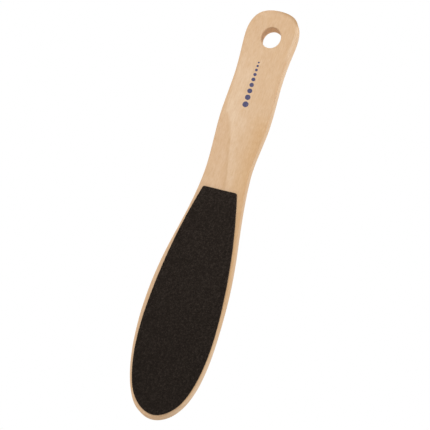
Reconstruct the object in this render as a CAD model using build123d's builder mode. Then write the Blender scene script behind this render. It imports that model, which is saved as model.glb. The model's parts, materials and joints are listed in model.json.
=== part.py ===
from build123d import *
import os

# A two-sided foot file: one flat wooden paddle, with a coarse abrasive sheet glued to the
# front face of its blade and a fine one glued to the back face.  Lengths are in millimetres.
#
# The origin is the centre of the hang hole, half way through the wood.  +Z runs up the
# handle to its butt.  The coarse face looks to -Y, and +X is to the right as it is seen.

# ---- Driving dimensions: paddle ----

WOOD_THICKNESS = 9.0
BUTT_HEIGHT = 17.0         # top of the handle, above the hang hole
TIP_HEIGHT = -233.0        # end of the blade, below the hang hole
EDGE_ROUND = 0.6           # sanded corner between each face and the side wall
HOLE_RADIUS = 6.2
HOLE_RIM_ROUND = 0.4
HOLE_OFF_CENTRE = 0.5      # the hole is drilled this far right of the blank's centre line
TIP_OFF_CENTRE = 1.3       # the end of the blade lies this far left of that line

# Height, then how far the side stands left and right of the blank's centre line.  The
# outline is shaped by hand on a sander, so the two sides differ by up to 1.4 mm.
PADDLE_STATIONS = [
    (13.0, 11.0, 12.4),
    (6.0, 14.5, 14.7),
    (-6.0, 14.9, 14.3),    # widest part of the rounded butt
    (-24.0, 13.9, 13.5),   # waist under the butt
    (-52.0, 14.6, 14.3),   # swell that fills the palm
    (-84.0, 13.0, 12.6),   # neck
    (-110.0, 15.5, 15.5),
    (-142.0, 21.2, 20.4),
    (-178.0, 23.3, 22.5),  # widest part of the blade
    (-206.0, 20.0, 20.7),
    (-222.0, 14.5, 15.4),
    (-230.0, 8.5, 8.5),
]
NECK = 6                   # the closed outline starts at the neck, where it is nearly straight

# ---- Driving dimensions: abrasive sheets ----

ADHESIVE_THICKNESS = 0.15
BACKING_THICKNESS = 0.35
COARSE_GRIT_THICKNESS = 0.4
FINE_GRIT_THICKNESS = 0.25

SHEET_LENGTH = 135.5
SHEET_CORNER = 1.2         # rounded corners of the straight upper edge

# Distance below the sheet's straight upper edge, then half the sheet's width.
SHEET_STATIONS = [
    (0.0, 10.1),
    (34.0, 17.3),
    (64.0, 20.8),
    (94.0, 21.4),
    (116.0, 17.95),
    (130.0, 10.9),
]

# Each sheet lies with the middle of its upper edge at this place on its own face, seen from
# outside.  The front one was laid by hand a little askew, with its tip swung to the right.
SHEET_TOP = -96.0
FRONT_SHEET_X = -1.28
FRONT_SHEET_SKEW = 0.85    # degrees
BACK_SHEET_X = HOLE_OFF_CENTRE

front_face = Plane.XZ.offset(WOOD_THICKNESS / 2)
back_face = Plane(origin=(0, WOOD_THICKNESS / 2, 0), x_dir=(-1, 0, 0), z_dir=(0, 1, 0))

os.makedirs("parts", exist_ok=True)

# ---- Paddle ----

right_side = [(right - HOLE_OFF_CENTRE, height) for height, left, right in PADDLE_STATIONS]
left_side = [(-left - HOLE_OFF_CENTRE, height) for height, left, right in PADDLE_STATIONS]
butt = (-HOLE_OFF_CENTRE, BUTT_HEIGHT)
tip = (-HOLE_OFF_CENTRE - TIP_OFF_CENTRE, TIP_HEIGHT)
outline = [butt, *right_side, tip, *reversed(left_side)]

with BuildPart() as paddle:
    with BuildSketch(Plane.XZ):
        with BuildLine():
            Spline(*outline[NECK:], *outline[:NECK], periodic=True)
        make_face()
        Circle(HOLE_RADIUS, mode=Mode.SUBTRACT)
    extrude(amount=WOOD_THICKNESS / 2, both=True)
    fillet(paddle.edges().filter_by(GeomType.CIRCLE), radius=HOLE_RIM_ROUND)
    face_edges = paddle.faces().filter_by(Axis.Y).edges()
    fillet(face_edges.filter_by(GeomType.CIRCLE, reverse=True), radius=EDGE_ROUND)

paddle.part.label = "paddle"
export_step(paddle.part, "parts/paddle.step")

# ---- Abrasive sheets ----

# One die-cut outline serves every layer of both sheets.  Its origin is the middle of the
# straight upper edge, and it hangs down from there.
left_edge = [(-half_width, -distance) for distance, half_width in SHEET_STATIONS]
right_edge = [(half_width, -distance) for distance, half_width in SHEET_STATIONS]

with BuildSketch() as sheet:
    with BuildLine():
        Spline(*left_edge, (0, -SHEET_LENGTH), *reversed(right_edge))
        Line(left_edge[0], right_edge[0])
    make_face()
    fillet(sheet.vertices().group_by(Axis.Y)[-1], radius=SHEET_CORNER)


def sheet_layer(node, face, place, height, thickness):
    """Make one layer of a sheet, standing from height above the wood's face upwards."""
    with BuildPart() as layer:
        with BuildSketch(face.offset(height)):
            with Locations(place):
                add(sheet.sketch)
        extrude(amount=thickness)
    layer.part.label = node
    export_step(layer.part, f"parts/{node}.step")


def abrasive_sheet(side, face, place, grit_thickness):
    """Make the adhesive film, the backing and the grit coat that lie on one face."""
    height = 0.0
    for layer, thickness in (
        ("adhesive", ADHESIVE_THICKNESS),
        ("backing", BACKING_THICKNESS),
        ("grit", grit_thickness),
    ):
        sheet_layer(f"{side}_{layer}", face, place, height, thickness)
        height += thickness


front_place = Location((FRONT_SHEET_X, SHEET_TOP, 0), (0, 0, FRONT_SHEET_SKEW))
back_place = Location((BACK_SHEET_X, SHEET_TOP, 0))

abrasive_sheet("front", front_face, front_place, COARSE_GRIT_THICKNESS)
abrasive_sheet("back", back_face, back_place, FINE_GRIT_THICKNESS)
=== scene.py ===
import itertools
import json
import math

import bpy
import numpy as np
from mathutils import Matrix, Vector
from mathutils.geometry import delaunay_2d_cdt


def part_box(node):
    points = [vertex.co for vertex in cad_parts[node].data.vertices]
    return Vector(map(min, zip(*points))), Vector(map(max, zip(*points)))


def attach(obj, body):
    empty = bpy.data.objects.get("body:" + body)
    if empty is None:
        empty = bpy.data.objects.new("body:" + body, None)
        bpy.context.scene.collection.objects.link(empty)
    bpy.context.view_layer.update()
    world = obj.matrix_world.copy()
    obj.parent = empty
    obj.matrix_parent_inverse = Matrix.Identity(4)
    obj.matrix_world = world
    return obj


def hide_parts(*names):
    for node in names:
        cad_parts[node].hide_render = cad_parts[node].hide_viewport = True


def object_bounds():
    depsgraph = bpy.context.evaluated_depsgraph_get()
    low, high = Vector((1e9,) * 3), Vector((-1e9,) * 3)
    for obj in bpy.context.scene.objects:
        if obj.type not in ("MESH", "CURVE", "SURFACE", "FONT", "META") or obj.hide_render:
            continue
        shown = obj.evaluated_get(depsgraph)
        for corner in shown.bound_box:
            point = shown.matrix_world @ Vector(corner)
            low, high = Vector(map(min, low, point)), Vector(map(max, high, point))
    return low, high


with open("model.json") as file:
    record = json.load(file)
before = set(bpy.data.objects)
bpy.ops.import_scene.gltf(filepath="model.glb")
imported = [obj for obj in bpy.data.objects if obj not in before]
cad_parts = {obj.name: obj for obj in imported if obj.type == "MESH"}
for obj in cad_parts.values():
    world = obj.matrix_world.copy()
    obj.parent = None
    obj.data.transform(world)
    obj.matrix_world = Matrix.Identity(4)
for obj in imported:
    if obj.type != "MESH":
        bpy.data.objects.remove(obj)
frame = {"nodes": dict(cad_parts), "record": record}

# A two-sided foot file: a basswood paddle with a black abrasive sheet on each face of its
# blade.  Everything is in metres, in the part's own frame: the origin is the centre of the
# hang hole, +Z runs up the handle and the coarse face looks to -Y.

MM = 0.001
cad_low, cad_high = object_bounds()
nodes = frame["nodes"]
mounts = {mount["name"]: mount for mount in frame["record"]["mounts"]}


# ---------------------------------------------------------------- smooth noise on points

NOISE_TABLE = 48           # lattice cells on a side before the noise repeats


def smooth_noise(points, cell, seed):
    """Smooth noise from -1 to 1 at each point, with a random value per lattice cell."""
    table = np.random.default_rng(seed).uniform(-1.0, 1.0, (NOISE_TABLE,) * 3)
    place = points / np.asarray(cell)
    base = np.floor(place).astype(int)
    part = place - base
    part = part * part * (3 - 2 * part)
    total = np.zeros(len(points))
    for corner in itertools.product((0, 1), repeat=3):
        weight = np.prod(np.where(corner, part, 1 - part), axis=1)
        i, j, k = ((base + corner) % NOISE_TABLE).T
        total += weight * table[i, j, k]
    return total


# ---------------------------------------------------------------- outlines from the frame

SAME_DEPTH = 1e-6          # two depths that differ by less count as one
SPOT_DIGITS = 7            # decimals to which copies of one point agree


def round_spot(co):
    """A point's x and z, rounded so that copies of one point agree."""
    return round(co.x, SPOT_DIGITS), round(co.z, SPOT_DIGITS)


def outline_links(mesh, depth):
    """Which spots the mesh's outline edges at y = depth join to which."""
    place = [vertex.co for vertex in mesh.vertices]
    level = {v for v, co in enumerate(place) if abs(co.y - depth) < SAME_DEPTH}
    # An edge inside a flat cap has two of the cap's faces beside it; an outline edge has not.
    caps = {}
    for face in mesh.polygons:
        if level.issuperset(face.vertices):
            for key in face.edge_keys:
                spots = frozenset(round_spot(place[v]) for v in key)
                caps[spots] = caps.get(spots, 0) + 1
    links = {}
    for edge in mesh.edges:
        if level.issuperset(edge.vertices):
            spots = frozenset(round_spot(place[v]) for v in edge.vertices)
            if len(spots) == 2 and caps.get(spots, 0) < 2:
                first, second = spots
                links.setdefault(first, set()).add(second)
                links.setdefault(second, set()).add(first)
    return links


def cad_loop(body, depth):
    """The closed outline, as (x, z) points, that a CAD node's edges draw at y = depth."""
    links = outline_links(nodes[body].data, depth)
    walk = [min(links, key=lambda spot: spot[1])]
    seen = set(walk)
    while True:
        onward = sorted(links[walk[-1]] - seen)
        if not onward:
            break
        walk.append(onward[0])
        seen.add(onward[0])
    loop = np.array(walk)
    x, z = loop.T
    if np.sum(x * np.roll(z, -1) - np.roll(x, -1) * z) < 0:
        loop = loop[::-1]
    return loop


def outward_normals(points):
    """The unit normals, away from the inside, at the points of an anticlockwise loop."""
    along = np.roll(points, -1, 0) - np.roll(points, 1, 0)
    along /= np.linalg.norm(along, axis=1)[:, None]
    return np.column_stack([along[:, 1], -along[:, 0]])


def closed_spline(loop, spacing):
    """Evenly spaced points on a smooth closed curve through the points of a loop."""
    steps = np.linalg.norm(np.roll(loop, -1, 0) - loop, axis=1)
    count = len(loop)
    before = np.roll(steps, 1)
    # Second derivatives of the periodic cubic spline that joins the points.
    system = np.diag(2 * (before + steps))
    rows = np.arange(count)
    system[rows, (rows + 1) % count] += steps
    system[rows, (rows - 1) % count] += before
    slope = (np.roll(loop, -1, 0) - loop) / steps[:, None]
    bend = np.linalg.solve(system, 6 * (slope - np.roll(slope, 1, 0)))
    length = np.append(0, np.cumsum(steps))
    place = np.linspace(0, length[-1], int(length[-1] / spacing), endpoint=False)
    i = np.clip(np.searchsorted(length, place, side="right") - 1, 0, count - 1)
    j = (i + 1) % count
    h = steps[i][:, None]
    t = (place - length[i])[:, None]
    u = h - t
    return (
        bend[i] * u**3 / (6 * h) + bend[j] * t**3 / (6 * h)
        + (loop[i] / h - bend[i] * h / 6) * u + (loop[j] / h - bend[j] * h / 6) * t
    )


def unit_circle(count):
    """Evenly spaced (x, z) points on a circle of radius 1 about the origin."""
    turn = np.linspace(0, 2 * np.pi, count, endpoint=False)
    return np.column_stack([np.cos(turn), np.sin(turn)])


def level_points(flat, y=0.0):
    """The (x, z) points of a plane as points in space, all at the same y."""
    return np.column_stack([flat[:, 0], np.full(len(flat), y), flat[:, 1]])


# ---------------------------------------------------------------- mesh building

def span(loop, z):
    """The lowest and highest x of a loop at each height z."""
    bottom, top = int(loop[:, 1].argmin()), int(loop[:, 1].argmax())
    turned = np.roll(loop, -bottom, axis=0)
    rise = (top - bottom) % len(loop)
    right = turned[: rise + 1]
    left = np.vstack([turned[rise:], turned[:1]])[::-1]
    return (
        np.interp(z, left[:, 1], left[:, 0]),
        np.interp(z, right[:, 1], right[:, 0]),
    )


def lattice(loop, step_x, step_z, margin, jitter, seed):
    """Staggered points inside a loop, margin or more from its sides, then moved a little."""
    rng = np.random.default_rng(seed)
    rows = []
    heights = np.arange(loop[:, 1].min() + margin, loop[:, 1].max() - margin, step_z)
    for n, z in enumerate(heights):
        low, high = span(loop, z)
        near_low, near_high = span(loop, z + margin)
        far_low, far_high = span(loop, z - margin)
        low = max(low, near_low, far_low) + margin
        high = min(high, near_high, far_high) - margin
        xs = np.arange(math.ceil(low / step_x), math.floor(high / step_x) + 1) * step_x
        xs = xs + (n % 2) * step_x / 2
        xs = xs[(xs > low) & (xs < high)]
        rows.append(np.column_stack([xs, np.full(len(xs), z)]))
    points = np.vstack(rows)
    return points + rng.uniform(-jitter, jitter, points.shape)


def inside(loops, points):
    """Whether each point has an odd number of loop edges to its right."""
    odd = np.zeros(len(points), bool)
    x, z = points.T
    for loop in loops:
        for (ax, az), (bx, bz) in zip(loop, np.roll(loop, -1, 0)):
            if az != bz:
                crosses = (az > z) != (bz > z)
                odd ^= crosses & (x < ax + (z - az) * (bx - ax) / (bz - az))
    return odd


WHOLE_HULL = 0             # the triangulation's mode: fill the whole convex hull
CDT_EPSILON = 1e-9         # points closer than this count as one


def triangulate(loops, inner):
    """Triangles, as indices into the stacked loops and inner points, between the loops."""
    points = np.vstack([*loops, inner])
    edges = []
    start = 0
    for loop in loops:
        count = len(loop)
        edges += [(start + i, start + (i + 1) % count) for i in range(count)]
        start += count
    corners = [Vector(point) for point in points]
    made = delaunay_2d_cdt(corners, edges, [], WHOLE_HULL, CDT_EPSILON, True)
    triangles, sources = made[2], made[3]
    origin = np.array([ids[0] for ids in sources])
    faces = origin[np.array(triangles)]
    faces = faces[inside(loops, points[faces].mean(axis=1))]
    return [tuple(map(int, face)) for face in faces]


def ring_quads(first, second, count, inward=False):
    """Quads between two rings of the same count, whose first vertices are given."""
    quads = []
    for i in range(count):
        j = (i + 1) % count
        quad = (first + i, second + i, second + j, first + j)
        quads.append(quad[::-1] if inward else quad)
    return quads


class Shell:
    """A mesh under construction: vertices in metres, faces, and one value per vertex."""

    def __init__(self):
        self.blocks = []
        self.faces = []
        self.values = []
        self.count = 0

    def add_flat(self, flat, y, value=0.0):
        """Add (x, z) points at y, one number or one per point, and return the first's index."""
        start = self.count
        y = np.broadcast_to(y, len(flat))
        self.blocks.append(np.column_stack([flat[:, 0], y, flat[:, 1]]))
        self.values.append(np.broadcast_to(value, len(flat)))
        self.count += len(flat)
        return start

    def skin(self, rows, inward=False):
        """Add loops as add_flat takes them, join each to the next, and return their starts."""
        starts = [self.add_flat(*row) for row in rows]
        count = len(rows[0][0])
        for first, second in zip(starts, starts[1:]):
            self.faces += ring_quads(first, second, count, inward)
        return starts

    def fill(self, loops, inner, indices, outward):
        """Fill the region between loops with triangles that look outward along y."""
        for triangle in triangulate(loops, inner):
            face = tuple(int(indices[v]) for v in triangle)
            self.faces.append(face if outward < 0 else face[::-1])

    def flat_cap(self, loops, starts, inner, y, outward):
        """Fill between loops that were added before, by way of inner points added at y."""
        starts = [*starts, self.add_flat(inner, y)]
        sizes = [len(points) for points in (*loops, inner)]
        indices = [start + np.arange(size) for start, size in zip(starts, sizes)]
        self.fill(loops, inner, np.concatenate(indices), outward)

    def finish(self, name, attribute=None, smooth=True):
        """Make the object, with its normals as the faces' winding says."""
        mesh = bpy.data.meshes.new(name)
        mesh.from_pydata(np.vstack(self.blocks).tolist(), [], self.faces)
        if attribute:
            layer = mesh.attributes.new(attribute, "FLOAT", "POINT")
            layer.data.foreach_set("value", np.concatenate(self.values).astype(np.float32))
        mesh.polygons.foreach_set("use_smooth", [smooth] * len(mesh.polygons))
        mesh.update()
        made = bpy.data.objects.new(name, mesh)
        bpy.context.scene.collection.objects.link(made)
        return made


# ---------------------------------------------------------------- the wooden paddle

EDGE_ROUND = 0.6 * MM      # as the CAD body's edges are rounded
EDGE_UNEVEN = 0.25         # how much sanding has changed that radius, either way
EDGE_CELL = 11 * MM        # and over what length
EDGE_SEED = 4
RIM_ROUND = 0.4 * MM       # as the CAD hole's rims are rounded
RIM_POINTS = 96
RIM_MARKING = 0.5          # how strongly the hole's rims take the edge marks, compared with the edges
HOLE_OVAL = np.array((0.93, 1.04))         # the hole's size across and along, over the CAD bore's
OUTLINE_STEP = 0.7 * MM
WALL_ROWS = 12             # steps across a wall
ARC_STEPS = 6              # steps round an edge
FLAT_RINGS = ((1.8 * MM, 0.0), (1.1 * MM, 0.15), (0.5 * MM, 0.45))    # inset, and strength of the edge marks
FACE_MARK = 0.7             # strength of the edge marks where the round meets the face
MIDDLE_MARK = 0.6           # and added in the round's middle
FIBRE_STEP_X = 0.3 * MM
FIBRE_STEP_Z = 2.0 * MM
FIBRE_MARGIN = 0.25 * MM   # between the points of a face and its first ring
FIBRE_JITTER = 0.04 * MM
FIBRE_SEED = 5
RIM_MARGIN = 0.2 * MM
RELIEF = (                 # height and cell in mm of soft waves, fibres and fine fibres
    (0.020, (9, 9, 60)),
    (0.009, (0.55, 0.55, 14)),
    (0.006, (0.3, 0.3, 6)),
)


def fibre_relief(points):
    """How far sanding has left the surface proud or hollow, at each point of the wood."""
    total = np.zeros(len(points))
    for seed, (height, cell) in enumerate(RELIEF, start=1):
        total += height * smooth_noise(points, np.multiply(cell, MM), seed)
    return total * MM


# The arris value places the painted edge marks: painted shade in the fold of each rounded edge, a
# painted highlight on the right shoulder, and the dark butt and tip edges.
def edge_mark_profile(angle):
    """How strongly a rounded edge takes the edge marks: most in its middle, and more on the face
    than the wall.
    """
    return FACE_MARK * math.cos(angle) + MIDDLE_MARK * math.sin(2 * angle)


def edge_rows(loop, onto_face, radius, y_face, into_wood, marking=1.0):
    """Loops from the flat of a face, over its rounded edge, to a wall that stands on loop."""
    rows = [(loop + (radius + gap) * onto_face, y_face, mark_level * marking) for gap, mark_level in FLAT_RINGS]
    for angle in np.linspace(0, np.pi / 2, ARC_STEPS + 1):
        flat = loop + radius * (1 - np.sin(angle)) * onto_face
        depth = y_face + into_wood * radius[:, 0] * (1 - np.cos(angle))
        rows.append((flat, depth, edge_mark_profile(angle) * marking))
    return rows


def wall_rows(front_rows, back_rows):
    """All loops from the front face over both edges, and the wall between, to the back face."""
    flat_a, depth_a, _ = front_rows[-1]
    flat_b, depth_b, _ = back_rows[-1]
    between = [
        (flat_a * (1 - share) + flat_b * share, depth_a * (1 - share) + depth_b * share, 0.0)
        for share in np.linspace(0, 1, WALL_ROWS + 1)[1:-1]
    ]
    return front_rows + between + back_rows[::-1]


def roughen(mesh):
    """Move every vertex along its normal by the wood's relief."""
    co = np.empty(len(mesh.vertices) * 3)
    normal = np.empty(len(mesh.vertices) * 3)
    mesh.vertices.foreach_get("co", co)
    mesh.vertices.foreach_get("normal", normal)
    points = co.reshape(-1, 3)
    points += normal.reshape(-1, 3) * fibre_relief(points)[:, None]
    mesh.vertices.foreach_set("co", points.ravel())
    mesh.update()


def paddle_mesh():
    """The paddle as one closed mesh, with rounded edges that sanding has left a little uneven."""
    low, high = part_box("paddle")
    faces = ((low.y, 1), (high.y, -1))     # y of the front and the back, and the way into the wood
    outline = closed_spline(cad_loop("paddle", low.y + EDGE_ROUND), OUTLINE_STEP)
    onto_face = -outward_normals(outline)
    uneven = smooth_noise(level_points(outline), (EDGE_CELL,) * 3, EDGE_SEED)
    radius = EDGE_ROUND * (1 + EDGE_UNEVEN * uneven)[:, None]
    hole_radius = mounts["hang_hole"]["dims"]["r_mm"] * MM
    circle = unit_circle(RIM_POINTS)
    bore = hole_radius * HOLE_OVAL * circle
    rim_radius = np.full((RIM_POINTS, 1), RIM_ROUND)

    shell = Shell()
    edges = [edge_rows(outline, onto_face, radius, *face) for face in faces]
    rims = [edge_rows(bore, circle, rim_radius, *face, RIM_MARKING) for face in faces]
    edge_starts = shell.skin(wall_rows(*edges))
    rim_starts = shell.skin(wall_rows(*rims), inward=True)

    clear = hole_radius * HOLE_OVAL.max() + RIM_ROUND + FLAT_RINGS[0][0] + RIM_MARGIN
    for n, (y_face, into_wood) in zip((0, -1), faces):
        edge, rim = edges[n][0][0], rims[n][0][0]
        inner = lattice(edge, FIBRE_STEP_X, FIBRE_STEP_Z, FIBRE_MARGIN, FIBRE_JITTER, FIBRE_SEED)
        inner = inner[np.hypot(inner[:, 0], inner[:, 1]) > clear]
        starts = (edge_starts[n], rim_starts[n])
        shell.flat_cap([edge, rim], starts, inner, y_face, outward=-into_wood)

    made = shell.finish("wooden_paddle", attribute="arris")
    roughen(made.data)
    return made


# ---------------------------------------------------------------- the abrasive sheets

CUT_STEP = 0.3 * MM        # between points along a cut edge of cloth or adhesive
CLOTH_STRAY = 0.10 * MM    # how far each layer's cut edge may stray inwards
FILM_STRAY = 0.35 * MM
GRIT_STRAY = 0.12 * MM
CAP_STEP = 3 * MM          # between points on the flats of cloth and adhesive
CAP_MARGIN = 1 * MM
CAP_JITTER = 0.1 * MM
GRAIN_ROW = 0.87           # between rows of grains, as a part of the grains' spacing
GRAIN_MARGIN = 0.6         # and from the cut edge
GRAIN_JITTER = 0.32        # and the most that a grain is moved
GRAIN_SPREAD = (1.5, 2.2)  # the grains' heights follow a beta distribution
CLUMP_CELL = 1.1           # size in mm of the clumps that grains stand in
CLUMP_HEIGHT = 0.16        # their height, as a part of the grains' height
BROKEN_HEIGHT = 0.35       # what is left of a grain at the cut edge


def cut_outline(body, depth, step, wander, seed):
    """A CAD body's outline in even steps, and how far each point of a cut edge strays inwards."""
    loop = cad_loop(body, depth)
    shut = np.vstack([loop, loop[:1]])
    length = np.append(0, np.cumsum(np.linalg.norm(np.diff(shut, axis=0), axis=1)))
    place = np.linspace(0, length[-1], int(length[-1] / step), endpoint=False)
    points = np.column_stack([np.interp(place, length, shut[:, axis]) for axis in (0, 1)])
    stray = wander * np.random.default_rng(seed).uniform(-1, 0, (len(points), 1))
    return points, outward_normals(points) * stray


def sides(body):
    """The y of a sheet layer's outer and inner side, and the direction that is outward."""
    low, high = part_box(body)
    return (low.y, high.y, -1.0) if low.y < 0 else (high.y, low.y, 1.0)


def layer_mesh(body, name, wander, seed):
    """A film or backing layer: a thin slab whose cut edge is a little ragged."""
    outer, inner, outward = sides(body)
    points, stray = cut_outline(body, outer, CUT_STEP, wander, seed)
    other = np.random.default_rng(seed + 1).uniform(0, 1, (len(points), 1))
    shell = Shell()
    rows = [
        (points + stray, outer),
        (points + stray * other, (outer + inner) / 2),
        (points + stray[::-1] * other, inner),
    ]
    starts = shell.skin(rows, inward=outward > 0)
    for n, way in ((0, outward), (-1, -outward)):
        loop, y = rows[n]
        middle = lattice(loop, CAP_STEP, CAP_STEP, CAP_MARGIN, CAP_JITTER, seed)
        shell.flat_cap([loop], [starts[n]], middle, y, way)
    return shell.finish(name)


def grit_mesh(body, name, step, height, seed):
    """The grit coat: a closed slab whose outer side is a field of angular grains."""
    outer, inner, outward = sides(body)
    outline, stray = cut_outline(body, outer, step, GRIT_STRAY, seed)
    outline = outline + stray
    middle = lattice(outline, step, step * GRAIN_ROW, step * GRAIN_MARGIN, step * GRAIN_JITTER, seed)
    points = np.vstack([outline, middle])
    # Grains stand to different heights, in loose clumps; those at the cut edge are broken off.
    rng = np.random.default_rng(seed + 1)
    clump = smooth_noise(level_points(points), (CLUMP_CELL * MM,) * 3, seed + 2)
    grain = np.clip(rng.beta(*GRAIN_SPREAD, len(points)) + CLUMP_HEIGHT * clump, 0, 1)
    grain[: len(outline)] *= BROKEN_HEIGHT

    shell = Shell()
    top = shell.add_flat(points, outer - outward * height * (1 - grain), grain)
    bottom = shell.add_flat(outline, inner)
    shell.fill([outline], middle, top + np.arange(len(points)), outward)
    shell.faces += ring_quads(top, bottom, len(outline), inward=outward > 0)
    shell.fill([outline], np.empty((0, 2)), bottom + np.arange(len(outline)), -outward)
    return shell.finish(name, attribute="grain", smooth=False)


# ---------------------------------------------------------------- the printed mark

MARK_TOP = -16.0 * MM      # below the hang hole
MARK_X = -2.4 * MM
MARK_GAP = 0.95 * MM
MARK_RADII = np.linspace(0.55, 1.8, 9) * MM
DOT_POINTS = 40
DOT_RAGGED = (0.95, 1.03)
DOT_SEED = 50
INK_THICKNESS = 0.02 * MM
INK_RINGS = 8


def printed_mark(face_y):
    """A generic printed scale on the handle: dots of ink that grow from fine to coarse."""
    shell = Shell()
    rng = np.random.default_rng(DOT_SEED)
    circle = unit_circle(DOT_POINTS)
    # A dot's outer ring comes twice: sunk in the wood, and half the ink's thickness above it.
    scales = [1, *np.linspace(1, 1 / INK_RINGS, INK_RINGS)]
    rises = [-INK_THICKNESS, INK_THICKNESS / 2] + [INK_THICKNESS] * (INK_RINGS - 1)
    z = MARK_TOP
    for radius in MARK_RADII:
        z -= radius
        ragged = rng.uniform(*DOT_RAGGED, (DOT_POINTS, 1))
        rows = []
        for scale, rise in zip(scales, rises):
            flat = (MARK_X, z) + scale * radius * ragged * circle
            rows.append((flat, face_y - fibre_relief(level_points(flat, face_y)) - rise))
        starts = shell.skin(rows, inward=True)
        top = range(starts[-1], starts[-1] + DOT_POINTS)
        bottom = range(starts[0], starts[0] + DOT_POINTS)
        shell.faces += [tuple(top), tuple(reversed(bottom))]
        z -= radius + MARK_GAP
    return shell.finish("printed_mark", smooth=False)


# ---------------------------------------------------------------- material building

class Field:
    """A value that varies over a surface: a shader socket that arithmetic can be done on."""

    def __init__(self, socket):
        self.socket = socket
        self.tree = socket.node.id_data

    def maths(self, operation, *others):
        """Another field, made from this one and others by one Math node."""
        return node(self.tree, "Math", dict(enumerate((self, *others))), operation=operation)

    def ramp(self, start, end, first=0.0, last=1.0):
        """first up to start, last from end on, and smooth between; start may be the higher."""
        return node(self.tree, "MapRange", {0: self, 1: start, 2: end, 3: first, 4: last},
                    interpolation_type="SMOOTHSTEP")

    def spread(self, low, high):
        """A value from 0 to 1 stretched to run from low to high."""
        return self * (high - low) + low

    def __add__(self, other):
        return self.maths("ADD", other)

    def __sub__(self, other):
        return self.maths("SUBTRACT", other)

    def __rsub__(self, other):
        return (self * -1) + other

    def __mul__(self, other):
        return self.maths("MULTIPLY", other)

    def __truediv__(self, other):
        return self.maths("DIVIDE", other)

    def __abs__(self):
        return self.maths("ABSOLUTE")


def node(tree, kind, inputs=(), output=0, **settings):
    """Add a shader node, fill its inputs by name or number, and return one output."""
    made = tree.nodes.new("ShaderNode" + kind)
    for key, value in settings.items():
        setattr(made, key, value)
    for key, value in dict(inputs).items():
        feed(made.inputs[key], value)
    return Field(made.outputs[output]) if made.outputs else made


def feed(socket, value):
    """Link a field to a socket, or give the socket a plain value or colour."""
    if isinstance(value, Field):
        value.tree.links.new(value.socket, socket)
    elif isinstance(value, tuple) and socket.type == "RGBA":
        socket.default_value = (*value, 1.0)
    else:
        socket.default_value = value


def blend(tree, factor, first, second, kind="MIX"):
    """Two colours mixed by a factor."""
    return node(tree, "Mix", {0: factor, 6: first, 7: second}, output=2, data_type="RGBA",
                blend_type=kind)


def axes(tree, vector):
    """The x, y and z of a vector field."""
    return [node(tree, "SeparateXYZ", {0: vector}, output=axis) for axis in range(3)]


def noise(tree, cell, detail=3.0, rough=0.5):
    """Noise from 0 to 1 whose features are about as large as cell, in mm, on each axis."""
    place = node(tree, "TexCoord", output="Object")
    scale = tuple(1 / (size * MM) for size in cell)
    vector = node(tree, "VectorMath", {0: place, 1: scale}, operation="MULTIPLY")
    return node(tree, "TexNoise", {"Vector": vector, "Scale": 1.0, "Detail": detail,
                                   "Roughness": rough})


def grey(tree, level):
    """A colour of the same level in every channel."""
    return node(tree, "CombineColor", {0: level, 1: level, 2: level})


BROWNING = (0.65, 1.1, 1.65)               # how strongly each channel follows the wood's tone


def browned(tree, colour, level):
    """A colour made lighter or darker by a level near 1, and browner as it darkens."""
    tint = node(tree, "CombineColor", {
        channel: level.maths("POWER", power) for channel, power in enumerate(BROWNING)})
    return blend(tree, 1.0, colour, tint, "MULTIPLY")


def principled(name):
    """A new material, its node tree and its Principled shader."""
    material = bpy.data.materials.new(name)
    material.use_nodes = True
    tree = material.node_tree
    return material, tree, tree.nodes["Principled BSDF"]


def set_surface(shader, colour, roughness, specular=0.5):
    """Give a shader its colour, roughness and specular level."""
    feed(shader.inputs["Base Color"], colour)
    feed(shader.inputs["Roughness"], roughness)
    feed(shader.inputs["Specular IOR Level"], specular)


def set_bump(tree, shader, height, strength, distance):
    """Give a shader a bump from a height field, in metres at full strength."""
    feed(shader.inputs["Normal"], node(tree, "Bump", {
        "Strength": strength, "Distance": distance, "Height": height}))


# ---------------------------------------------------------------- the wood's look

WOOD_PLAIN = (0.720, 0.496, 0.310)
WOOD_PALE_AND_PAINTED_LIGHT = (0.764, 0.552, 0.368)
WOOD_TAN = (0.700, 0.472, 0.291)
WOOD_GOLD = (0.676, 0.428, 0.226)
WOOD_LINE_AND_EDGE_SHADE = (0.600, 0.372, 0.200)
WOOD_END_AND_SHADE = (0.450, 0.262, 0.122)
WOOD_PORE = (0.480, 0.300, 0.165)

# A curved late-wood line runs down from the left edge, with pale wood on its right and tan
# wood on its left.  Further right the wood turns gold.
FIGURE_APEX = (-13.0 * MM, -50.0 * MM)     # where the line leaves the left edge
FIGURE_CURVE = 4.3 * MM                    # the line is a parabola of this parameter
FIGURE_LEAN = 0.55                         # shift of the figure to the right per depth of wood
FIGURE_DROP = 2.0                          # and downwards
WANDER = (2.6 * MM, 8 * MM)                # its waviness across and along the fibres

# Ramps: where a feature starts to show and where it is full, then its amounts at these two
# places if they are not 0 and 1.  ALONG is up the paddle, ACROSS to the right, BESIDE to the
# right of the line, DEPTH from the front face.  The first two are distances below the apex.
BELOW_APEX = (0.5 * MM, 5 * MM)
SETTLED = (6 * MM, 16 * MM)
GOLD_ACROSS = (0.0, 13 * MM)
GOLD_ALONG = (-42 * MM, -58 * MM, 0.18, 1.0)
TAN_BESIDE = (1.6 * MM, -1.8 * MM)
PALE_BESIDE = (-1.1 * MM, 1.2 * MM)
PALE_REACH = (6 * MM, 16 * MM, 10.4 * MM, 3.4 * MM)    # the pale wood's width, below the apex
PALE_FADE = (1.5, 0.2)                     # over parts of that width
PALE_HANDLE = (-34 * MM, -8 * MM, 1.0, 0.25)
PALE_BLADE = (-95 * MM, -66 * MM, 0.2, 1.0)
LINE_SIDES = ((-2.2 * MM, -0.1 * MM), (0.6 * MM, -0.2 * MM))
LINE_STRENGTH = 0.15                       # just below the apex
LINE_SETTLED = 0.30                        # added where the line has settled
CURL_SIDES = ((-95 * MM, -60 * MM), (-40 * MM, -55 * MM))
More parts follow.
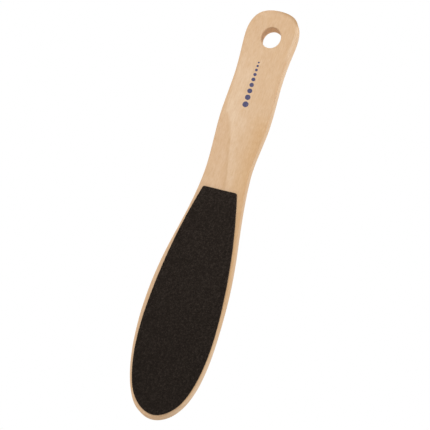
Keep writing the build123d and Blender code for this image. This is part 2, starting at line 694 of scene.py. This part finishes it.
CURL_STRENGTH = (0.02, 0.09)               # elsewhere, and between these sides
BUTT_PAINTED_SHADE = (-34 * MM, 9 * MM, 0.0, 0.05)            # painted shade: the wood darkens towards the butt

# The side walls have less gold, except at the belly, and near the butt and at the tip they have
# painted light, lighter than the lamps leave them.
WALL_FACING = (0.35, 0.9)
WALL_DEPTH = (-0.5 * MM, 4.5 * MM)
WALL_BELLY = ((-128 * MM, -150 * MM), (-198 * MM, -172 * MM))
BELLY_GOLD = 0.5                           # the part of the gold that stays there
WALL_PAINTED_LIGHT = ((-70 * MM, -15 * MM, 0.0, 0.6), (-170 * MM, -200 * MM, 0.0, 0.7))

# Grain patterns: cell across and along the fibres in mm, detail and roughness of the noise.
GRAIN = {
    "wander": (12, 24, 3.0, 0.5),
    "fibre": (0.6, 18, 3.0, 0.6),
    "streak": (2.4, 60, 3.0, 0.5),
    "blotch": (14, 30, 3.0, 0.5),
    "mottle": (3.5, 5, 3.0, 0.5),
    "fleck": (0.75, 3.0, 3.0, 0.6),
    "curl": (7, 2.2, 2.0, 0.5),
    "warm": (2.6, 7, 3.0, 0.5),
    "pore": (0.24, 3.2, 1.0, 0.5),
    "speck": (0.35, 0.8, 2.0, 0.5),
    "edge_shade": (5, 16, 2.0, 0.5),
}
TONE = {                   # how much each pattern changes the wood's lightness
    "fibre": 0.15,
    "streak": 0.08,
    "blotch": 0.08,
    "mottle": 0.15,
    "fleck": 0.36,
}
WARM = (0.35, 0.8, 0.0, 0.25)              # ramps over the patterns of these names
PORE = (0.62, 0.74)
PORE_DARK = 0.20
PORE_DEEP = 0.6
END_FACING = (0.30, 0.95)                  # over how far the surface looks up or down
END_GRAIN_AND_SHADE_ACROSS = (-6 * MM, 9 * MM, 0.20, 0.24)
END_SPECK = 0.5                            # lifts the speckle noise to a mean of 1
END_ROUGH = 0.3

# Painted shade lies in the fold of each rounded edge, more on the right; the right shoulder's edge
# has a painted highlight; the butt's and the tip's edges are dark, partly end grain and partly
# painted shade; the very tip is darker towards the back; the hole has painted light deep inside.
SHOULDER_ACROSS = (9 * MM, 11 * MM)
SHOULDER_ALONG = ((-16 * MM, -7 * MM), (12.5 * MM, 9 * MM))
SHOULDER_HIGHLIGHT_RAMP = (0.08, 0.4)                 # over the strength of the edge marks
EDGE_SHADE_ACROSS = (-4 * MM, 8 * MM, 0.3, 0.5)
BUTT_ALONG = (9 * MM, 12.5 * MM)
BUTT_ACROSS = (-6 * MM, 7 * MM, 0.0, 0.85)
TIP_ALONG = (-222 * MM, -231 * MM)
TIP_ACROSS = (-8 * MM, 4 * MM, 0.0, 0.1)
TIP_BACK_ALONG = (-224 * MM, -231 * MM)
TIP_BACK_DEPTH = (3 * MM, 8 * MM, 0.0, 0.14)
HOLE_LIGHT_RADIUS = (6.6 * MM, 6.2 * MM)
HOLE_LIGHT_DEPTH = (1 * MM, 4 * MM, 0.0, 0.11)


def figure_colour(tree, x, z, depth, sideways, wander):
    """The colour of the figure, and how far along it each point lies."""
    # The figure leans as it goes through the board, so each face and wall shows it shifted.
    u = x - depth * FIGURE_LEAN + wander * WANDER[0]
    v = z + depth * FIGURE_DROP + wander * WANDER[1]
    fall = (FIGURE_APEX[1] - v).maths("MAXIMUM", 0.0)
    beside = u - (fall * FIGURE_CURVE).maths("SQRT") - FIGURE_APEX[0]
    below = fall.ramp(*BELOW_APEX)
    wall = sideways.ramp(*WALL_FACING) * depth.ramp(*WALL_DEPTH)
    belly = z.ramp(*WALL_BELLY[0]) * z.ramp(*WALL_BELLY[1])

    gold = u.ramp(*GOLD_ACROSS) * v.ramp(*GOLD_ALONG)
    gold = gold * (1 - wall * (1 - belly * BELLY_GOLD))
    tan = beside.ramp(*TAN_BESIDE) * below
    pale = beside.ramp(*PALE_BESIDE) * (beside / fall.ramp(*PALE_REACH)).ramp(*PALE_FADE)
    pale = pale * v.ramp(*PALE_HANDLE) * v.ramp(*PALE_BLADE)
    # Painted light: the side walls near the butt and at the tip are blended towards pale wood.
    pale = pale + wall * (z.ramp(*WALL_PAINTED_LIGHT[0]) + z.ramp(*WALL_PAINTED_LIGHT[1]))
    line = beside.ramp(*LINE_SIDES[0]) * beside.ramp(*LINE_SIDES[1])
    line = line * (fall.ramp(*SETTLED) * LINE_SETTLED + below * LINE_STRENGTH)

    colour = blend(tree, gold, WOOD_PLAIN, WOOD_GOLD)
    colour = blend(tree, tan, colour, WOOD_TAN)
    colour = blend(tree, pale, colour, WOOD_PALE_AND_PAINTED_LIGHT)
    return blend(tree, line, colour, WOOD_LINE_AND_EDGE_SHADE), v


def wood_tone(grain, v, z):
    """The wood's lightness, about 1: painted shade towards the butt, then fibres, streaks, flecks,
    and curl across the neck.
    """
    # Painted shade: the handle is a little darker towards the butt.
    tone = 1 - z.ramp(*BUTT_PAINTED_SHADE)
    for name, amount in TONE.items():
        tone = tone + (grain[name] - 0.5) * amount
    curl = (v.ramp(*CURL_SIDES[0]) * v.ramp(*CURL_SIDES[1])).spread(*CURL_STRENGTH)
    return tone + (grain["curl"] - 0.5) * curl


def edge_and_hole_colour(tree, colour, x, z, depth, arris, edge_shade):
    """The colour with painted shade along its rounded edges, its butt and tip edges darker (partly
    end grain, partly painted shade), its very tip darker towards the back, and painted light deep in
    its hole.
    """
    # Painted shade: a dark line in the fold of the rounded edges, stronger towards the right.
    colour = blend(tree, edge_shade * x.ramp(*EDGE_SHADE_ACROSS), colour, WOOD_LINE_AND_EDGE_SHADE)
    # Partly end grain, partly painted shade: the butt's and the tip's edges are darker, most on the
    # right, away from the key light.
    butt = z.ramp(*BUTT_ALONG) * x.ramp(*BUTT_ACROSS)
    tip = z.ramp(*TIP_ALONG) * x.ramp(*TIP_ACROSS)
    colour = blend(tree, arris * (butt + tip), colour, WOOD_END_AND_SHADE)
    # The very tip is darker towards the back.
    colour = blend(tree, z.ramp(*TIP_BACK_ALONG) * depth.ramp(*TIP_BACK_DEPTH), colour, WOOD_END_AND_SHADE)
    # Painted light: the hole's wall is lighter deeper inside, against the shade there.
    across, upright = x / HOLE_OVAL[0], z / HOLE_OVAL[1]
    hole_painted_light = (across * across + upright * upright).maths("SQRT").ramp(*HOLE_LIGHT_RADIUS)
    return blend(tree, 1.0, colour, grey(tree, hole_painted_light * depth.ramp(*HOLE_LIGHT_DEPTH) + 1.0), "MULTIPLY")


def wood_material():
    """Pale basswood: a tongue of pale sapwood, a late-wood line, fibres, pores, end grain."""
    material, tree, shader = principled("basswood")
    x, y, z = axes(tree, node(tree, "TexCoord", output="Object"))
    facing = axes(tree, node(tree, "NewGeometry", output="Normal"))
    sideways, upward = abs(facing[0]), abs(facing[2])
    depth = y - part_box("paddle")[0].y
    arris = node(tree, "Attribute", output="Fac", attribute_name="arris")
    grain = {
        name: noise(tree, (across, across, along), detail, rough)
        for name, (across, along, detail, rough) in GRAIN.items()
    }

    colour, v = figure_colour(tree, x, z, depth, sideways, grain["wander"] - 0.5)
    # Painted highlight: the right shoulder's rounded edge is blended towards pale wood, as if a
    # wider rounding caught the side light.
    shoulder_highlight = x.ramp(*SHOULDER_ACROSS) * z.ramp(*SHOULDER_ALONG[0]) * z.ramp(*SHOULDER_ALONG[1])
    colour = blend(tree, arris.ramp(*SHOULDER_HIGHLIGHT_RAMP) * shoulder_highlight, colour, WOOD_PALE_AND_PAINTED_LIGHT)
    colour = browned(tree, colour, wood_tone(grain, v, z))
    colour = blend(tree, grain["warm"].ramp(*WARM), colour, WOOD_GOLD)
    pore = grain["pore"].ramp(*PORE)
    colour = blend(tree, pore * PORE_DARK, colour, WOOD_PORE)
    # End grain soaks up more finish; the extra darkening on the right is painted shade, away from
    # the key light.
    end = upward.ramp(*END_FACING) * x.ramp(*END_GRAIN_AND_SHADE_ACROSS)
    colour = blend(tree, end * (grain["speck"] + END_SPECK), colour, WOOD_END_AND_SHADE)
    # The painted edge shade, broken up by noise, and left out where the shoulder has its painted
    # highlight.
    edge_shade = arris * grain["edge_shade"] * (1 - shoulder_highlight)
    colour = edge_and_hole_colour(tree, colour, x, z, depth, arris, edge_shade)

    roughness = grain["fibre"].spread(0.58, 0.74) + end * END_ROUGH
    set_surface(shader, colour, roughness, specular=0.15)
    set_bump(tree, shader, grain["fibre"] - pore * PORE_DEEP, strength=0.15, distance=0.06 * MM)
    return material


# ---------------------------------------------------------------- the other materials

GRAIN_CELL = 1.3           # a tone's patch, compared with the spacing of grains
GRIT_TINT = (1.0, 0.80, 0.66)
GRIT_TONE = (0.2, 1.0)     # how much a grain's own tone counts in the hollows and at its top
GRIT_CLUMP = 2.5           # how much clumps change the tone
GRIT_PATCH = 0.2           # and patches
GRIT_PATCH_CELL = (18, 18, 30)
GRIT_BASE = -0.06
GRIT_PAINTED_FALLOFF = (-240 * MM, -90 * MM, 0.8, 1.1)    # painted light: paler towards the handle, darker towards the tip
WEAVE_CELL = (0.4, 0.1, 0.4)
WEAVE_COLOURS = ((0.010, 0.008, 0.007), (0.045, 0.036, 0.029))
FRAY_CELL = (3, 3, 3)
FRAY = (0.5, 0.75, 0.0, 0.5)
FRAY_COLOUR = (0.16, 0.12, 0.09)
GLUE_CELL = (0.8, 0.8, 0.8)
GLUE_COLOURS = ((0.10, 0.06, 0.03), (0.36, 0.26, 0.16))
INK_PATCH_CELL = (1.5, 1.5, 1.5)
INK_COLOURS = ((0.026, 0.024, 0.095), (0.052, 0.048, 0.150))
INK_THIN_CELL = (0.5, 0.5, 5)
INK_THIN = (0.50, 0.78)
INK_WEAR = 0.4             # how much of the ink's colour is lost where it's thin
INK_WORN = (0.30, 0.22, 0.24)


def grit_material(name, dark, pale, grain_size):
    """Silicon carbide grains in dark resin: each grain has its own tone and gloss."""
    material, tree, shader = principled(name)
    place = node(tree, "TexCoord", output="Object")
    vector = node(tree, "VectorMath", {0: place, 1: (1 / grain_size,) * 3}, operation="MULTIPLY")
    cells = node(tree, "TexVoronoi", {"Vector": vector, "Scale": 1.0}, output="Color")
    tone, gloss = (node(tree, "SeparateColor", {0: cells}, output=part) for part in (0, 1))
    grain = node(tree, "Attribute", output="Fac", attribute_name="grain")
    clump = noise(tree, (CLUMP_CELL,) * 3, rough=0.7) - 0.5
    patch = noise(tree, GRIT_PATCH_CELL, detail=2.0) - 0.5
    level = tone * tone * grain.spread(*GRIT_TONE)
    level = level + clump * GRIT_CLUMP + patch * GRIT_PATCH + GRIT_BASE
    colour = blend(tree, level.maths("MAXIMUM", 0.0).maths("MINIMUM", 1.0), dark, pale)
    # Painted light: the grit darkens towards the tip, as the light falls off downwards.
    dust_and_falloff = axes(tree, place)[2].ramp(*GRIT_PAINTED_FALLOFF)
    colour = blend(tree, 1.0, colour, grey(tree, dust_and_falloff), "MULTIPLY")
    set_surface(shader, colour, gloss.spread(0.30, 0.75), specular=0.16)
    feed(shader.inputs["Specular Tint"], GRIT_TINT)
    return material


def backing_material():
    """Black latex-filled paper cloth, seen only at the cut edge of each sheet."""
    material, tree, shader = principled("sheet_backing")
    weave = noise(tree, WEAVE_CELL, detail=2.0)
    fray = noise(tree, FRAY_CELL).ramp(*FRAY)
    colour = blend(tree, fray, blend(tree, weave, *WEAVE_COLOURS), FRAY_COLOUR)
    set_surface(shader, colour, weave.spread(0.7, 0.9), specular=0.2)
    set_bump(tree, shader, weave, strength=0.4, distance=0.05 * MM)
    return material


def adhesive_material():
    """A film of amber adhesive with dust caught along its edge."""
    material, tree, shader = principled("adhesive_film")
    dust_and_falloff = noise(tree, GLUE_CELL)
    set_surface(shader, blend(tree, dust_and_falloff, *GLUE_COLOURS), dust_and_falloff.spread(0.3, 0.7))
    set_bump(tree, shader, dust_and_falloff, strength=0.3, distance=0.03 * MM)
    return material


def ink_material():
    """Navy pad-printing ink, worn thin in streaks along the fibres."""
    material, tree, shader = principled("navy_ink")
    thin = noise(tree, INK_THIN_CELL).ramp(*INK_THIN)
    patch = noise(tree, INK_PATCH_CELL, detail=2.0)
    colour = blend(tree, thin * INK_WEAR, blend(tree, patch, *INK_COLOURS), INK_WORN)
    set_surface(shader, colour, patch.spread(0.4, 0.6))
    set_bump(tree, shader, thin, strength=0.2, distance=0.03 * MM)
    return material


# ---------------------------------------------------------------- build the object

SHEETS = (                 # side, slot, grain spacing and height, dark and pale colour, seed
    ("front", "coarse_grit", 0.30 * MM, 0.32 * MM,
     (0.008, 0.0055, 0.0042), (0.042, 0.032, 0.026), 21),
    ("back", "fine_grit", 0.27 * MM, 0.16 * MM,
     (0.009, 0.0065, 0.005), (0.036, 0.028, 0.023), 31),
)


def dress(piece, material, replaced=None):
    """Give a new piece its material, fix it to the tool, and let it stand for a CAD node."""
    piece.data.materials.append(material)
    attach(piece, "root")
    if replaced:
        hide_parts(replaced)


dress(paddle_mesh(), wood_material(), "paddle")

cloth = backing_material()
film = adhesive_material()
for side, slot, step, height, dark, pale, seed in SHEETS:
    coat = grit_mesh(f"{side}_grit", f"{side}_abrasive", step, height, seed)
    grains = grit_material(f"{side}_grains", dark, pale, step * GRAIN_CELL)
    dress(coat, grains, f"{side}_grit")
    cloth_piece = layer_mesh(f"{side}_backing", f"{side}_cloth", CLOTH_STRAY, seed + 5)
    dress(cloth_piece, cloth, f"{side}_backing")
    film_piece = layer_mesh(f"{side}_adhesive", f"{side}_film", FILM_STRAY, seed + 7)
    dress(film_piece, film, f"{side}_adhesive")

dress(printed_mark(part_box("paddle")[0].y), ink_material())


# ---------------------------------------------------------------- floor, light and camera

FLOOR_DROP = 0.35          # below the tip of the hanging tool
FLOOR_RADIUS = 5.0
FLOOR_SIDES = 128
FLOOR_CELL = (200, 200, 200)
FLOOR_FADE = (0.6, 2.2)    # the floor turns to the backdrop's white between these distances
FLOOR_GREYS = ((0.85, 0.85, 0.85), (0.88, 0.88, 0.88))
WHITE = (1, 1, 1)
AMBIENT = 0.55             # strength of the light from all sides
PALM = Vector((0.0, 0.0, -0.05))           # near the handle's middle, where the lights look
LIGHTS = (                 # name, place, size in metres and power in watts
    ("key", (-0.45, -0.85, 0.45), 0.6, 5.9),
    ("side", (0.55, 0.0, 0.19), 0.4, 1.95),
    ("rear", (-0.5, 1.2, 0.5), 0.8, 6.0),
)


def is_camera_ray(tree):
    """1 where the camera looks straight at a surface, and 0 for reflected light."""
    return node(tree, "LightPath", output="Is Camera Ray")


def stage_floor():
    """A pale round floor well below the hanging tool, which fades to white far away."""
    bpy.ops.mesh.primitive_circle_add(vertices=FLOOR_SIDES, radius=FLOOR_RADIUS, fill_type="NGON",
                                      location=(0, 0, cad_low.z - FLOOR_DROP))
    floor = bpy.context.object
    floor.name = "floor"
    material, tree, shader = principled("pale_floor")
    grain = noise(tree, FLOOR_CELL)
    set_surface(shader, blend(tree, grain, *FLOOR_GREYS), roughness=0.9)
    white = node(tree, "Emission", {"Color": WHITE, "Strength": 1.0})
    place = node(tree, "TexCoord", output="Object")
    distance = node(tree, "VectorMath", {0: place}, output="Value", operation="LENGTH")
    fade = distance.ramp(*FLOOR_FADE) * is_camera_ray(tree)
    mix = node(tree, "MixShader", {0: fade, 1: Field(shader.outputs[0]), 2: white})
    feed(tree.nodes["Material Output"].inputs["Surface"], mix)
    floor.data.materials.append(material)


def stage_world(strength):
    """White behind the tool, and soft even light of the given strength from all sides."""
    world = bpy.data.worlds.new("studio")
    bpy.context.scene.world = world
    world.use_nodes = True
    tree = world.node_tree
    tree.nodes.clear()
    seen = node(tree, "Background", {"Color": WHITE, "Strength": 1.0})
    light = node(tree, "Background", {"Color": WHITE, "Strength": strength})
    mix = node(tree, "MixShader", {0: is_camera_ray(tree), 1: light, 2: seen})
    feed(node(tree, "OutputWorld").inputs["Surface"], mix)


def soft_light(name, place, size, power):
    """A square soft box that looks at the handle."""
    data = bpy.data.lights.new(name, "AREA")
    data.size = size
    data.energy = power
    lamp = bpy.data.objects.new(name, data)
    lamp.location = place
    lamp.rotation_euler = (PALM - Vector(place)).to_track_quat("-Z", "Y").to_euler()
    lamp.visible_camera = False
    bpy.context.scene.collection.objects.link(lamp)


VIEW_AZIMUTH = math.radians(12.84)
VIEW_ELEVATION = math.radians(-13.02)
VIEW_ROLL = math.radians(17.71)
VIEW_DISTANCE = 1.3606
VIEW_LENS = 198.67         # focal length in mm
VIEW_FAR = 50.0
VIEW_AIM = Vector((0.28, 0.0, -2.11)) * MM     # from the middle of the object's box


def stage_camera():
    """The camera, below and to the right of the coarse face, and rolled so the paddle leans."""
    a, e, roll = VIEW_AZIMUTH, VIEW_ELEVATION, VIEW_ROLL
    back = Vector((math.sin(a) * math.cos(e), -math.cos(a) * math.cos(e), math.sin(e)))
    level = Vector((math.cos(a), math.sin(a), 0.0))
    up = level.cross(-back)
    right = math.cos(roll) * level + math.sin(roll) * up
    top = math.cos(roll) * up - math.sin(roll) * level
    aim = (cad_low + cad_high) / 2 + VIEW_AIM
    data = bpy.data.cameras.new("camera")
    data.lens = VIEW_LENS
    data.clip_end = VIEW_FAR
    camera = bpy.data.objects.new("camera", data)
    camera.matrix_world = Matrix.Translation(aim + VIEW_DISTANCE * back) @ Matrix(
        (right, top, back)).transposed().to_4x4()
    bpy.context.scene.collection.objects.link(camera)
    bpy.context.scene.camera = camera


scene = bpy.context.scene
scene.view_settings.view_transform = "Standard"
scene.view_settings.look = "None"
stage_floor()
stage_world(AMBIENT)
for light in LIGHTS:
    soft_light(*light)
stage_camera()
